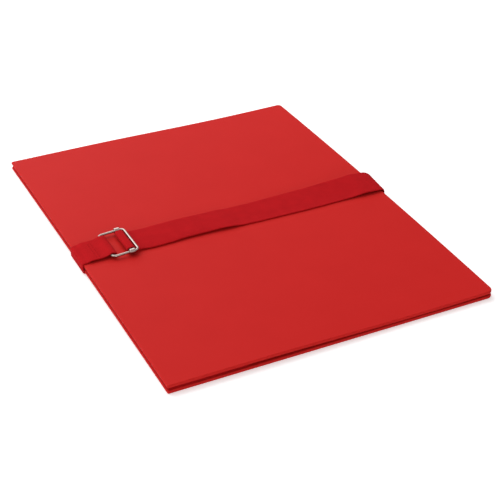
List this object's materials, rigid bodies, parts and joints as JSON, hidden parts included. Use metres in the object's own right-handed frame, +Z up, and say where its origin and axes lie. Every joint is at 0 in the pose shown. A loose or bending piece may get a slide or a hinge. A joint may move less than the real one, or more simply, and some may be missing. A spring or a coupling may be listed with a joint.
{
  "type": "strap folder",
  "caption": "Flat red document folder: two stiff boards with a cloth gusset at the spine, held shut by a webbing strap with a wire buckle and sliding bar.",
  "frame": {"origin": "the bottom centre of the closed folder with its strap, at table level", "axes": "+X from the spine to the opening edge, +Y along the spine to the top of the folder, +Z up through the front cover"},
  "size_m": [0.2466, 0.32, 0.0128],
  "materials": {
    "cover_board": "stiff board wrapped in smooth matt red paper",
    "gusset_cloth": "fine woven cotton cloth, folded flat",
    "strap_webbing": "tightly woven matt cotton webbing",
    "buckle_nickel": "polished nickel plate"
  },
  "bodies": {
    "folder": {"front_cover": "cover_board", "back_cover": "cover_board", "spine_gusset": "gusset_cloth", "strap": "strap_webbing", "buckle_frame": "buckle_nickel"},
    "sliding_bar": {"buckle_slider": "buckle_nickel"}
  },
  "joints": [
    {"name": "bar_slide", "type": "slide", "parent": "folder", "child": "sliding_bar", "axis": [0.9982, 0, 0.0596], "range_m": [-0.0005, 0.0009]}
  ]
}
